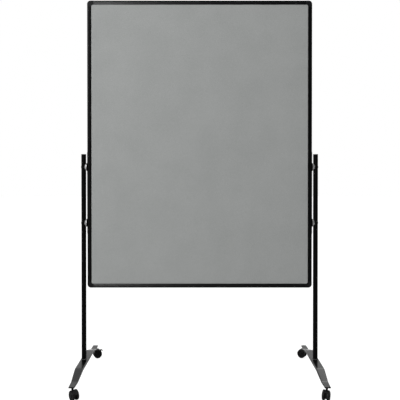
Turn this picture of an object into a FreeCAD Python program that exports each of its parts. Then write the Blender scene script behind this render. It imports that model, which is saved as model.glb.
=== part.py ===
import FreeCAD, Part
import math
import os
import re

import Sketcher

# Mobile pinboard: a felt-faced board in a channel frame, held between two posts that
# stand on low arched feet with twin-wheel castors.
# Millimetres. +Z is up, the front of the board faces -Y and the origin lies on the floor
# under the middle of the whole box.

SIZES = {
    # Board and frame
    "board_width": 1170,
    "board_height": 1495,
    "board_bottom": 470,
    "rail_depth": 25,
    "rail_face": 21,
    "rail_wall": 1.5,
    "rail_crown": 0.8,
    "slot_floor": 10,
    "core_thick": 16,
    "panel_gap": 0.5,
    "felt_thick": 2.8,
    "felt_gap": 0.3,
    # Corner pieces
    "corner_leg": 32,
    "corner_radius": 18,
    "corner_edge": 1,
    "opening_radius": 9,
    "tongue_length": 30,
    "tongue_gap": 0.15,
    # Hanger bars on the sides of the frame
    "bar_length": 432,
    "bar_width": 16,
    "bar_thick": 2,
    "bar_rise": 279,
    # Clamps between the frame and the posts, measured from the ends of the hanger bars
    "clamp_low_inset": 59,
    "clamp_high_inset": 81,
    "pad_radius": 22,
    "pad_thick": 1.5,
    "saddle_radius": 20.5,
    "saddle_rise": 16,
    "saddle_gap": 0.1,
    # Posts
    "post_gap": 9,
    "post_radius": 12.5,
    "post_wall": 1.5,
    "post_drop": 14,
    "cap_thick": 4,
    "cap_edge": 1,
    "cap_depth": 14,
    "cap_gap": 0.1,
    # Feet
    "foot_inset": 3.5,
    "foot_top": 94,
    "foot_end_top": 66,
    "foot_flat": 121,
    "foot_taper": 135,
    "foot_bend": 211,
    "foot_reach": 268,
    "foot_width": 40,
    "foot_end_width": 28,
    "foot_depth": 13,
    "foot_end_depth": 6,
    "foot_wall": 2,
    "foot_edge": 2,
    # Castors
    "stem_inset": 21,
    "castor_trail": 15,
    "wheel_radius": 23,
    "wheel_width": 10.2,
    "wheel_gap": 0.8,
    "bore_wall": 2.2,
    "bore_end_gap": 0.4,
    "web_width": 11,
    "hub_radius": 8,
    "hood_gap": 0.7,
    "hood_wall": 1.3,
    "collar_radius": 5.2,
    "collar_top": 48,
    "collar_bottom": 28,
    "stem_radius": 4,
    "stem_bottom": 31,
    "stem_flat": 10,
    "turn_gap": 0.3,
    "running_gap": 0.06,
    "fixed_gap": 0.02,
    "axle_radius": 3,
    "hood_inset": 2,
    # Brake pedals of the left castors
    "pivot_reach": 17.3,
    "pivot_rise": 10,
    "pivot_radius": 1.5,
    "ear_radius": 3.5,
    "ear_slot": 5,
    "pedal_tongue": 4.4,
    "pedal_width": 22,
    "pedal_thick": 2.5,
    "pedal_start": 19,
    "pedal_start_rise": 22,
    "pedal_reach": 31.5,
    "pedal_reach_rise": 14.5,
    # How far cutting shapes run past what they cut
    "cut_over": 1,
}

ANGLES = {
    "hood_front": 50,
    "hood_back": 160,
    "yaw_front_left": -48,
    "yaw_rear_left": 28,
    "yaw_front_right": 243,
    "yaw_rear_right": 141,
}

# The board and posts stand this far behind the middle of the whole box: it is measured
# once all pieces are built.
MEASURED = {"stand_y": 0}

DERIVED = {
    "board_middle": "board_bottom + board_height / 2",
    "slot_half": "rail_depth / 2 - rail_crown - rail_wall",
    "lip_half": "rail_depth / 2 - rail_crown",
    "crown_radius": "(rail_face ^ 2 / 4 + rail_crown ^ 2) / (2 * rail_crown)",
    "panel_width": "board_width - 2 * (slot_floor + panel_gap)",
    "panel_height": "board_height - 2 * (slot_floor + panel_gap)",
    "panel_corner": "corner_radius - slot_floor - panel_gap",
    "face_width": "board_width - 2 * (rail_face + felt_gap)",
    "face_height": "board_height - 2 * (rail_face + felt_gap)",
    "felt_rim": "slot_half - core_thick / 2",
    "bar_middle": "bar_rise + bar_length / 2 - board_height / 2",
    "bar_top": "bar_rise + bar_length - board_height / 2",
    "clamp_low": "bar_rise + clamp_low_inset - board_height / 2",
    "clamp_high": "bar_top - clamp_high_inset",
    "bar_face": "board_width / 2 + bar_thick",
    "saddle_base": "bar_face + pad_thick",
    "saddle_ball": "(saddle_radius ^ 2 + saddle_rise ^ 2) / (2 * saddle_rise)",
    "post_x": "board_width / 2 + post_gap + post_radius",
    "post_bore": "post_radius - post_wall",
    "foot_x": "post_x - foot_inset",
    "post_top": "board_middle + bar_top - post_drop",
    "post_length": "post_top - cap_thick - foot_top",
    "stem_reach": "foot_reach - stem_inset",
    "stem_top": "foot_end_top - foot_wall",
    "web_half": "web_width / 2",
    "wheel_inner": "web_half + wheel_gap",
    "wheel_outer": "wheel_inner + wheel_width",
    "bore_end": "wheel_outer - bore_wall",
    "axle_half": "bore_end - bore_end_gap",
    "hood_inner": "wheel_radius + hood_gap",
    "hood_outer": "hood_inner + hood_wall",
    "web_reach": "(hood_inner + hood_outer) / 2",
    "pivot_x": "castor_trail + pivot_reach",
    "pivot_z": "wheel_radius + pivot_rise",
}

UP = FreeCAD.Vector(0, 0, 1)
ACROSS = FreeCAD.Vector(0, 1, 0)

doc = FreeCAD.newDocument("MobilePinboard")
sheet = doc.addObject("Spreadsheet::Sheet", "Sizes")
CELLS = {**SIZES, **ANGLES, **MEASURED}
for row, (alias, number) in enumerate(CELLS.items(), start=1):
    sheet.set(f"A{row}", alias)
    sheet.set(f"B{row}", str(number))
    sheet.setAlias(f"B{row}", alias)
doc.recompute()

pieces = []


def formula(text):
    """Spell a formula of plain names as an expression on the sheet."""

    def spell(match):
        word = match.group(0)
        if word in DERIVED:
            return "(" + formula(DERIVED[word]) + ")"
        return "Sizes." + word if word in CELLS else word

    return re.sub("[a-z][a-z_]*", spell, text)


def value(text):
    """Work a formula out with the sheet's present sizes."""
    return float(sheet.evalExpression(formula(text)))


def bind(thing, **formulas):
    """Tie properties to formulas."""
    for name, text in formulas.items():
        thing.setExpression(name, formula(text))


def place(thing, x="0", y="0", z="0", turn="0", axis=UP):
    """Tie a piece's place, and its turn about one axis, to formulas."""
    thing.Placement = FreeCAD.Placement(FreeCAD.Vector(), FreeCAD.Rotation(axis, value(turn)))
    for letter, text in zip("xyz", (x, y, z)):
        thing.setExpression(f"Placement.Base.{letter}", formula(text))
    if turn in CELLS:
        thing.setExpression("Placement.Rotation.Angle", formula(turn))


def keep(thing, label):
    """Name a finished sub-part."""
    thing.Label = label
    pieces.append(thing)
    return thing


# Sketches

def arc_between(start, end, radius, bulge):
    """Arc of under a half circle that bulges out of, or into, an anticlockwise outline."""
    chord = end - start
    left = FreeCAD.Vector(-chord.y, chord.x, 0).normalize()
    height = math.sqrt(radius ** 2 - (chord.Length / 2) ** 2)
    side = 1 if bulge == "out" else -1
    centre = (start + end) / 2 + left * height * side
    first, last = (start, end) if bulge == "out" else (end, start)
    angles = [math.atan2(spot.y - centre.y, spot.x - centre.x) for spot in (first, last)]
    return Part.ArcOfCircle(Part.Circle(centre, UP, radius), *angles)


def fix_point(drawing, edge, point, x, y):
    """Tie one point of a sketch to a pair of formulas."""
    for kind, text in (("DistanceX", x), ("DistanceY", y)):
        spot = drawing.addConstraint(Sketcher.Constraint(kind, -1, 1, edge, point, value(text)))
        drawing.setExpression(f"Constraints[{spot}]", formula(text))


def fix_radius(drawing, edge, radius):
    """Tie the radius of a circle or an arc to a formula."""
    spot = drawing.addConstraint(Sketcher.Constraint("Radius", edge, value(radius)))
    drawing.setExpression(f"Constraints[{spot}]", formula(radius))


def draw_outline(drawing, corners):
    """Draw a closed outline through corners given as formulas.

    A corner with a radius and "out" or "in" starts an arc that runs to the next corner.
    """
    spots = [FreeCAD.Vector(value(corner[0]), value(corner[1]), 0) for corner in corners]
    ends = []
    for here, corner in enumerate(corners):
        start, end = spots[here], spots[(here + 1) % len(spots)]
        if len(corner) == 2:
            edge = drawing.addGeometry(Part.LineSegment(start, end), False)
            ends.append((edge, 1, 2))
        else:
            arc = arc_between(start, end, value(corner[2]), corner[3])
            edge = drawing.addGeometry(arc, False)
            ends.append((edge, 1, 2) if corner[3] == "out" else (edge, 2, 1))
    for here, corner in enumerate(corners):
        edge, first, last = ends[here]
        following, start, _ = ends[(here + 1) % len(ends)]
        drawing.addConstraint(Sketcher.Constraint("Coincident", edge, last, following, start))
        fix_point(drawing, edge, first, corner[0], corner[1])
    for corner, (edge, _, _) in zip(corners, ends):
        if len(corner) > 2:
            fix_radius(drawing, edge, corner[2])


def draw_circle(drawing, x, y, radius):
    """Draw a circle with its centre and radius given as formulas."""
    centre = FreeCAD.Vector(value(x), value(y), 0)
    edge = drawing.addGeometry(Part.Circle(centre, UP, value(radius)), False)
    fix_point(drawing, edge, 3, x, y)
    fix_radius(drawing, edge, radius)


def sketch(body, plane, loops, middle="0"):
    """Sketch on a plane across one axis of the body, at a height along that axis."""
    role = {"X": "YZ_Plane", "Y": "XZ_Plane", "Z": "XY_Plane"}[plane]
    support = next(item for item in body.Origin.OriginFeatures if item.Role == role)
    drawing = body.newObject("Sketcher::SketchObject", "Outline")
    drawing.AttachmentSupport = (support, "")
    drawing.MapMode = "FlatFace"
    facing = f"-({middle})" if plane == "Y" else middle
    drawing.setExpression("AttachmentOffset.Base.z", formula(facing))
    for loop in loops:
        if isinstance(loop, tuple):
            draw_circle(drawing, *loop)
        else:
            draw_outline(drawing, loop)
    return drawing


# Features

def new_body(name):
    return doc.addObject("PartDesign::Body", name)


def feature(body, kind, name, profile):
    item = body.newObject(f"PartDesign::{kind}", name)
    item.Profile = profile
    profile.Visibility = False
    return item


def grow(body, plane, loops, thickness, middle="0"):
    """Pad outlines by the same amount to both sides of a plane."""
    pad = feature(body, "Pad", "Pad", sketch(body, plane, loops, middle))
    pad.SideType = "Symmetric"
    bind(pad, Length=thickness)
    return pad


def carve(body, plane, loops, thickness, middle="0"):
    """Cut outlines out by the same amount to both sides of a plane."""
    pocket = feature(body, "Pocket", "Pocket", sketch(body, plane, loops, middle))
    pocket.SideType = "Symmetric"
    bind(pocket, Length=thickness)
    return pocket


def spin(body, plane, outline, axis):
    """Turn an outline once round the sketch's H or V axis."""
    profile = sketch(body, plane, [outline])
    turned = feature(body, "Revolution", "Turned", profile)
    turned.ReferenceAxis = (profile, [f"{axis}_Axis"])
    turned.Angle = 360
    return turned


def dress(body, kind, base, size, test):
    """Chamfer or fillet the edges of a feature that pass a test."""
    doc.recompute()
    edges = [f"Edge{place}" for place, edge in enumerate(base.Shape.Edges, start=1) if test(edge)]
    dressing = body.newObject(f"PartDesign::{kind}", kind)
    dressing.Base = (base, edges)
    bind(dressing, **{"Size" if kind == "Chamfer" else "Radius": size})
    return dressing


def group(label, members):
    """Gather repeated separate solids in one sub-part."""
    bundle = doc.addObject("Part::Compound", "Group")
    bundle.Links = members
    return keep(bundle, label)


def box_outline(left, right, low, high):
    return [(left, low), (right, low), (right, high), (left, high)]


def rounded_outline(width, height, radius):
    """Rectangle about the middle with rounded corners."""
    right, top = f"({width}) / 2", f"({height}) / 2"
    inner_right, inner_top = f"{right} - ({radius})", f"{top} - ({radius})"
    return [
        (right, f"-({inner_top})"),
        (right, inner_top, radius, "out"),
        (inner_right, top),
        (f"-({inner_right})", top, radius, "out"),
        (f"-{right}", inner_top),
        (f"-{right}", f"-({inner_top})", radius, "out"),
        (f"-({inner_right})", f"-{top}"),
        (inner_right, f"-{top}", radius, "out"),
    ]


def hex_outline(flat):
    """Hexagon about the middle, measured across its flats."""
    point, side = f"{flat} / sqrt(3)", f"{flat} / sqrt(12)"
    half = f"{flat} / 2"
    return [
        (point, "0"),
        (side, half),
        (f"-{side}", half),
        (f"-{point}", "0"),
        (f"-{side}", f"-{half}"),
        (side, f"-{half}"),
    ]


# Board

def panel_core():
    body = new_body("PanelCore")
    grow(body, "Y", [rounded_outline("panel_width", "panel_height", "panel_corner")], "core_thick")
    place(body, y="stand_y", z="board_middle")
    keep(body, "panel_core")


def felt(label, turn):
    """Felt on one side of the core, pressed thinner where the frame's lips hold it."""
    body = new_body("Felt")
    rim = rounded_outline("panel_width", "panel_height", "panel_corner")
    face = rounded_outline("face_width", "face_height", "opening_radius - felt_gap")
    grow(body, "Y", [rim], "felt_rim", "-(core_thick + felt_rim) / 2")
    grow(body, "Y", [face], "felt_thick", "-(core_thick + felt_thick) / 2")
    place(body, y="stand_y", z="board_middle", turn=turn)
    keep(body, label)


def rail(label, length, half_across, turn):
    """Channel with a crowned face on both sides, a hollow chamber and a slot for the panel.

    It runs along X with its outer side up, and is turned about Y to its side of the board.
    """
    body = new_body("Rail")
    channel = [
        ("lip_half", "0"),
        ("-lip_half", "0", "crown_radius", "out"),
        ("-lip_half", "-rail_face"),
        ("-slot_half", "-rail_face"),
        ("-slot_half", "-slot_floor"),
        ("slot_half", "-slot_floor"),
        ("slot_half", "-rail_face"),
        ("lip_half", "-rail_face", "crown_radius", "out"),
    ]
    chamber = box_outline("-slot_half", "slot_half", "rail_wall - slot_floor", "-rail_wall")
    grow(body, "X", [channel, chamber], length)
    place(body, x=half_across[0], y="stand_y", z=f"board_middle + {half_across[1]}", turn=turn, axis=ACROSS)
    keep(body, label)


def corner(turn, x, z):
    """Moulded corner with a rounded outside, a slot for the panel and two tongues."""
    body = new_body("Corner")
    elbow = [
        ("0", "-corner_leg"),
        ("0", "-corner_radius", "corner_radius", "out"),
        ("-corner_radius", "0"),
        ("-corner_leg", "0"),
        ("-corner_leg", "-rail_face"),
        ("-rail_face - opening_radius", "-rail_face", "opening_radius", "in"),
        ("-rail_face", "-rail_face - opening_radius"),
        ("-rail_face", "-corner_leg"),
    ]
    block = grow(body, "Y", [elbow], "rail_depth")
    face = value("rail_depth / 2")
    leg_end = -value("corner_leg")

    def on_face_rim(edge):
        middle = edge.CenterOfMass
        on_face = abs(abs(middle.y) - face) < 1e-6
        at_joint = min(abs(middle.x - leg_end), abs(middle.z - leg_end)) < 1e-6
        return on_face and not at_joint

    dress(body, "Chamfer", block, "corner_edge", on_face_rim)
    bend = "corner_radius - slot_floor"
    past = "-corner_leg - cut_over"
    slot = [
        ("-slot_floor", past),
        ("-slot_floor", f"-slot_floor - ({bend})", bend, "out"),
        (f"-slot_floor - ({bend})", "-slot_floor"),
        (past, "-slot_floor"),
        (past, past),
    ]
    carve(body, "Y", [slot], "2 * slot_half")
    tip, root = "-corner_leg - tongue_length", "rail_wall - corner_leg"
    low, high = "rail_wall + tongue_gap - slot_floor", "-rail_wall - tongue_gap"
    tongues = [box_outline(tip, root, low, high), box_outline(low, high, tip, root)]
    grow(body, "Y", tongues, "2 * (slot_half - tongue_gap)")
    place(body, x=x, y="stand_y", z=f"board_middle + {z}", turn=turn, axis=ACROSS)
    return body


# Side fixings: each piece is built for the right side, with +X outwards

def hanger_bar(label, turn):
    """Flat bar with rounded ends on the side of the frame, which both clamps sit on."""
    body = new_body("HangerBar")
    end, half = "bar_length / 2 - bar_width / 2", "bar_width / 2"
    strip = [
        (half, f"bar_middle - ({end})"),
        (half, f"bar_middle + ({end})", half, "out"),
        ("0", "bar_middle + bar_length / 2", half, "out"),
        (f"-{half}", f"bar_middle + ({end})"),
        (f"-{half}", f"bar_middle - ({end})", half, "out"),
        ("0", "bar_middle - bar_length / 2", half, "out"),
    ]
    grow(body, "X", [strip], "bar_thick", "board_width / 2 + bar_thick / 2")
    place(body, y="stand_y", z="board_middle", turn=turn)
    keep(body, label)


def saddle_pad(spot, turn):
    """Round pad between the hanger bar and the saddle."""
    body = new_body("Pad")
    grow(body, "X", [("0", "0", "pad_radius")], "pad_thick", "bar_face + pad_thick / 2")
    place(body, y="stand_y", z=f"board_middle + {spot}", turn=turn)
    return body


def saddle(spot, turn):
    """Domed spacer, hollowed to the round of the post, with a cheek on each side of it."""
    body = new_body("Saddle")
    dome = [
        ("saddle_base", "0"),
        ("saddle_base + saddle_rise", "0", "saddle_ball", "out"),
        ("saddle_base", "saddle_radius"),
    ]
    spin(body, "Y", dome, "H")
    carve(body, "Z", [("post_x", "0", "post_radius + saddle_gap")], "2 * (saddle_radius + cut_over)")
    place(body, y="stand_y", z=f"board_middle + {spot}", turn=turn)
    return body


# Posts

def post(label, side):
    """Round tube that stands on the foot."""
    body = new_body("Post")
    tube = [("0", "0", "post_radius"), ("0", "0", "post_bore")]
    grow(body, "Z", tube, "post_length", "foot_top + post_length / 2")
    place(body, x=f"{side} * post_x", y="stand_y")
    keep(body, label)


def post_cap(side):
    """Push-in cap with a chamfered rim."""
    body = new_body("PostCap")
    neck = "post_bore - cap_gap"
    shape = [
        ("0", "-cap_depth"),
        (neck, "-cap_depth"),
        (neck, "0"),
        ("post_radius", "0"),
        ("post_radius", "cap_thick - cap_edge"),
        ("post_radius - cap_edge", "cap_thick"),
        ("0", "cap_thick"),
    ]
    spin(body, "Y", shape, "V")
    place(body, x=f"{side} * post_x", y="stand_y", z="post_top - cap_thick")
    return body


# Feet

def foot_trim(side, inset):
    """Region beside the foot that tapers its width from the flat to the ends."""
    wide, narrow = f"{side} * (foot_width / 2 - {inset})", f"{side} * (foot_end_width / 2 - {inset})"
    beyond, past = f"{side} * (foot_width / 2 + cut_over)", "foot_reach + cut_over"
    return [
        (wide, "-foot_taper"),
        (narrow, "-foot_reach"),
        (narrow, f"-({past})"),
        (beyond, f"-({past})"),
        (beyond, past),
        (narrow, past),
        (narrow, "foot_reach"),
        (wide, "foot_taper"),
    ]


def foot_block(name, inset, below):
    """Arched bar with tapered ends, drawn in from its top, ends and sides by an inset."""
    body = new_body(name)
    tip = f"foot_reach - {inset}"
    top, end_top = f"foot_top - {inset}", f"foot_end_top - {inset}"
    bottom = f"foot_top - foot_depth - {below}"
    end_bottom = f"foot_end_top - foot_end_depth - {below}"
    arch = [
        (f"-({tip})", end_bottom),
        ("-foot_bend", end_bottom),
        ("-foot_flat", bottom),
        ("foot_flat", bottom),
        ("foot_bend", end_bottom),
        (tip, end_bottom),
        (tip, end_top),
        ("foot_bend", end_top),
        ("foot_flat", top),
        ("-foot_flat", top),
        ("-foot_bend", end_top),
        (f"-({tip})", end_top),
    ]
    grow(body, "X", [arch], "foot_width")
    trims = [foot_trim("-1", inset), foot_trim("1", inset)]
    return body, carve(body, "Z", trims, "2 * (foot_top + cut_over)")


def foot(label, side):
    """Arched pressing, open below, with a wall all round and bevelled top edges."""
    outside, block = foot_block("FootOutside", "0", "0")
    step = value("foot_wall") / 2

    def along_top(edge):
        middle = edge.CenterOfMass
        run = edge.Vertexes[-1].Point - edge.Vertexes[0].Point
        below = middle - FreeCAD.Vector(math.copysign(step, middle.x), 0, step)
        return abs(run.y) > abs(run.x) and block.Shape.isInside(below, step / 100, False)

    dress(outside, "Chamfer", block, "foot_edge", along_top)
    inside, _ = foot_block("FootInside", "foot_wall", "cut_over")
    shell = doc.addObject("Part::Cut", "Foot")
    shell.Base = outside
    shell.Tool = inside
    place(shell, x=f"{side} * foot_x", y="stand_y")
    keep(shell, label)


# Castors: each piece is built about its stem on the floor, trailing towards +X

CASTORS = {
    "front_left": ("-1", "-1"),
    "rear_left": ("-1", "1"),
    "front_right": ("1", "-1"),
    "rear_right": ("1", "1"),
}


def place_castor(thing, name, ahead="0", z="0"):
    """Put a piece at its castor's stem, or ahead of it along the trail, and turn it."""
    side, end = CASTORS[name]
    yaw = f"yaw_{name}"
    x = f"{side} * foot_x + {ahead} * cos({yaw})"
    y = f"stand_y + {end} * stem_reach + {ahead} * sin({yaw})"
    place(thing, x=x, y=y, z=z, turn=yaw)


def castor_stem(name):
    """Round pin below a hexagon that seats under the end of the foot and on the collar."""
    body = new_body("Stem")
    seat = "collar_top + turn_gap"
    grow(body, "Z", [hex_outline("stem_flat")], f"stem_top - ({seat})", f"(stem_top + {seat}) / 2")
    grow(body, "Z", [("0", "0", "stem_radius")], f"{seat} - stem_bottom", f"({seat} + stem_bottom) / 2")
    place_castor(body, name)
    return body


def on_rim(radius, angle):
    """Point on a circle about the axle."""
    return (f"castor_trail + {radius} * cos({angle})", f"wheel_radius + {radius} * sin({angle})")


def castor_hood(name, has_brake):
    """Centre web with a collar for the stem, the axle's hub and a hood over both wheels.

    On a castor with a brake, two ears of the web carry a cross pin for the pedal.
    """
    body = new_body("Hood")
    front = [on_rim("web_reach", "hood_front") + ("web_reach", "out")]
    if has_brake:
        front = [
            ("pivot_x + ear_radius", "pivot_z - ear_radius"),
            ("pivot_x + ear_radius", "pivot_z + ear_radius"),
        ] + front
    web = [
        ("castor_trail - hub_radius", "wheel_radius - hub_radius"),
        ("castor_trail + hub_radius", "wheel_radius - hub_radius"),
        *front,
        ("-web_half", "wheel_radius + sqrt(web_reach ^ 2 - (castor_trail + web_half) ^ 2)"),
        ("-web_half", "collar_bottom"),
    ]
    cover = [
        on_rim("hood_outer", "hood_front") + ("hood_outer", "out"),
        on_rim("hood_outer", "hood_back"),
        on_rim("hood_inner", "hood_back") + ("hood_inner", "in"),
        on_rim("hood_inner", "hood_front"),
    ]
    grow(body, "Y", [web], "web_width")
    grow(body, "Y", [cover], "2 * (wheel_outer - hood_inset)")
    collar = ("0", "0", "collar_radius")
    grow(body, "Z", [collar], "collar_top - collar_bottom", "(collar_top + collar_bottom) / 2")
    depth = "2 * (collar_top - stem_bottom + turn_gap)"
    carve(body, "Z", [("0", "0", "stem_radius + running_gap")], depth, "collar_top")
    axle_hole = ("castor_trail", "wheel_radius", "axle_radius + fixed_gap")
    carve(body, "Y", [axle_hole], "web_width + cut_over")
    if has_brake:
        slot_top = "wheel_radius + hood_outer"
        slot = box_outline("pivot_x - ear_slot", "pivot_x + ear_slot", "pivot_z - ear_slot", slot_top)
        carve(body, "Y", [slot], "ear_slot")
        grow(body, "Y", [("pivot_x", "pivot_z", "pivot_radius")], "(ear_slot + web_width) / 2")
    place_castor(body, name)
    keep(body, f"castor_hood_{name}")


def castor_axle(name):
    """Plain pin through the web that carries both wheels."""
    body = new_body("Axle")
    pin = [
        ("-axle_half", "0"),
        ("axle_half", "0"),
        ("axle_half", "axle_radius"),
        ("-axle_half", "axle_radius"),
    ]
    spin(body, "X", pin, "H")
    place_castor(body, name, "castor_trail", "wheel_radius")
    keep(body, f"castor_axle_{name}")


def castor_wheel(name, which, out):
    """Wheel with a blind bore that runs on the end of the axle."""
    body = new_body("Wheel")
    bore = "axle_radius + running_gap"
    half = [
        ("wheel_inner", bore),
        ("wheel_inner", "wheel_radius"),
        ("wheel_outer", "wheel_radius"),
        ("wheel_outer", "0"),
        ("bore_end", "0"),
        ("bore_end", bore),
    ]
    spin(body, "X", [(f"{out} * ({across})", radius) for across, radius in half], "H")
    place_castor(body, name, "castor_trail", "wheel_radius")
    keep(body, f"castor_wheel_{name}_{which}")


def brake_pedal(name):
    """Foot pedal with a tongue that turns on a cross pin between the web's ears."""
    body = new_body("Pedal")
    near, near_top = "castor_trail + pedal_start", "wheel_radius + pedal_start_rise"
    far, far_top = "castor_trail + pedal_reach", "wheel_radius + pedal_reach_rise"
    tread = [
        (near, f"{near_top} - pedal_thick"),
        (far, f"{far_top} - pedal_thick"),
        (far, far_top),
        (near, near_top),
    ]
    tongue = [
        ("pivot_x - ear_radius", "pivot_z - ear_radius"),
        ("pivot_x + ear_radius", "pivot_z - ear_radius"),
        (f"({near} + {far}) / 2", f"({near_top} + {far_top} - pedal_thick) / 2"),
        (near, f"{near_top} - pedal_thick / 2"),
    ]
    grow(body, "Y", [tread], "pedal_width")
    grow(body, "Y", [tongue], "pedal_tongue")
    carve(body, "Y", [("pivot_x", "pivot_z", "pivot_radius + running_gap")], "pedal_width")
    place_castor(body, name)
    keep(body, f"brake_pedal_{name}")


def build():
    """Make every sub-part."""
    panel_core()
    felt("felt_front", "0")
    felt("felt_rear", "180")
    level_run, upright_run = "board_width - 2 * corner_leg", "board_height - 2 * corner_leg"
    half_width, half_height = "board_width / 2", "board_height / 2"
    rail("rail_top", level_run, ("0", half_height), "0")
    rail("rail_right", upright_run, (half_width, "0"), "90")
    rail("rail_bottom", level_run, ("0", f"-{half_height}"), "180")
    rail("rail_left", upright_run, (f"-{half_width}", "0"), "270")
    corners = [
        corner("0", half_width, half_height),
        corner("90", half_width, f"-{half_height}"),
        corner("180", f"-{half_width}", f"-{half_height}"),
        corner("270", f"-{half_width}", half_height),
    ]
    group("corner_pieces", corners)
    sides = [("left", "-1", "180"), ("right", "1", "0")]
    for name, side, turn in sides:
        hanger_bar(f"hanger_bar_{name}", turn)
        post(f"post_{name}", side)
        foot(f"foot_{name}", side)
    clamps = [(spot, turn) for _, _, turn in sides for spot in ("clamp_low", "clamp_high")]
    group("saddle_pads", [saddle_pad(spot, turn) for spot, turn in clamps])
    group("saddles", [saddle(spot, turn) for spot, turn in clamps])
    group("post_caps", [post_cap(side) for _, side, _ in sides])
    group("castor_stems", [castor_stem(name) for name in CASTORS])
    braked = ("front_left", "rear_left")
    for name in CASTORS:
        castor_hood(name, name in braked)
        castor_axle(name)
        inner_out = CASTORS[name][0]
        outer_out = "1" if inner_out == "-1" else "-1"
        castor_wheel(name, "inner", f"-1 * {inner_out}")
        castor_wheel(name, "outer", f"-1 * {outer_out}")
    for name in braked:
        brake_pedal(name)


def centre_depth():
    """Set the middle of the whole box over the origin."""
    boxes = [piece.Shape.optimalBoundingBox(False, False) for piece in pieces]
    middle = (min(box.YMin for box in boxes) + max(box.YMax for box in boxes)) / 2
    sheet.set(sheet.getCellFromAlias("stand_y"), str(-middle))
    doc.recompute()


def check():
    """Stop if any object failed or any sub-part has no valid shape."""
    failed = [item.Name for item in doc.Objects if {"Invalid", "Error"} & set(item.State)]
    broken = [piece.Label for piece in pieces if piece.Shape.isNull() or not piece.Shape.isValid()]
    if failed or broken:
        raise RuntimeError(f"failed objects {failed}, broken sub-parts {broken}")


build()
doc.recompute()
check()
centre_depth()
check()
os.makedirs("parts", exist_ok=True)
for piece in pieces:
    piece.Shape.exportStep(f"parts/{piece.Label}.step")
print(f"{len(pieces)} sub-parts, depth shift {value('stand_y'):.3f}")
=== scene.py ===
import logging
import math
from contextlib import contextmanager
from dataclasses import dataclass
from enum import Enum
from typing import Callable, Dict, Iterator, List, Sequence, Tuple, Union

import bmesh
import bpy
import numpy as np
from mathutils import Matrix, Vector


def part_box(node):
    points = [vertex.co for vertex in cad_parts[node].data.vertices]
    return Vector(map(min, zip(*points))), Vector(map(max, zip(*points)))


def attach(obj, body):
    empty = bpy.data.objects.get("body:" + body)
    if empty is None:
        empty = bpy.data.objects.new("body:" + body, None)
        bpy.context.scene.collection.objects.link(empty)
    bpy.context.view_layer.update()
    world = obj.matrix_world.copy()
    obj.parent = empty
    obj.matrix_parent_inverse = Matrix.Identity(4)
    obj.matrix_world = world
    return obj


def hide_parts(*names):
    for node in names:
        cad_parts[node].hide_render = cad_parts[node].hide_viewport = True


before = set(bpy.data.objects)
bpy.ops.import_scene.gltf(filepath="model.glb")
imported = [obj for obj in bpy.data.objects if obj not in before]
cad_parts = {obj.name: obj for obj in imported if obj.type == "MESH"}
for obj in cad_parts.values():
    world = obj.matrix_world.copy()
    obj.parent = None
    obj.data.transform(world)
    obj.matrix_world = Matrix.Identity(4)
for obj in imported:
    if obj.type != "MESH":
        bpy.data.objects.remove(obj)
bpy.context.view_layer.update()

# Looks of a mobile pinboard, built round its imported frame. Metres, +Z up, front towards -Y.

PHOTO_SIDE = 400
MERGE = 0.0000001
SLIVER = 0.000003
SHARP = 32

log = logging.getLogger("pinboard")

Point = Tuple[float, float, float]
Flat = Tuple[float, float]
Colour = Tuple[float, float, float]
Steps = Tuple[float, ...]
Piece = bpy.types.Object


class Side(Enum):
    """The two ends of the stand, with the sign of their X."""

    LEFT = -1
    RIGHT = 1


class Run(Enum):
    """Which way the drawn lines of an extrusion run."""

    LEVEL = 0
    UPRIGHT = 2


# Shader graphs

class Signal:
    """One output of a shader node, with arithmetic that adds Math nodes."""

    def __init__(self, graph: "Graph", socket: bpy.types.NodeSocket) -> None:
        """Keep the graph and the socket."""
        self.graph = graph
        self.socket = socket

    def _math(self, operation: str, first: "Term", second: "Term") -> "Signal":
        """Output of a new Math node."""
        return self.graph.add("ShaderNodeMath", {"operation": operation}, {0: first, 1: second})

    def __add__(self, other: "Term") -> "Signal":
        """Sum."""
        return self._math("ADD", self, other)

    __radd__ = __add__

    def __sub__(self, other: "Term") -> "Signal":
        """Difference."""
        return self._math("SUBTRACT", self, other)

    def __rsub__(self, other: "Term") -> "Signal":
        """Difference from a number."""
        return self._math("SUBTRACT", other, self)

    def __mul__(self, other: "Term") -> "Signal":
        """Product."""
        return self._math("MULTIPLY", self, other)

    __rmul__ = __mul__

    def between(self, low: float, high: float) -> "Signal":
        """Spread the range from low to high over 0 to 1, with soft ends."""
        settings = {"interpolation_type": "SMOOTHSTEP"}
        return self.graph.add("ShaderNodeMapRange", settings, {0: self, 1: low, 2: high})


Term = Union[Signal, float]


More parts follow.
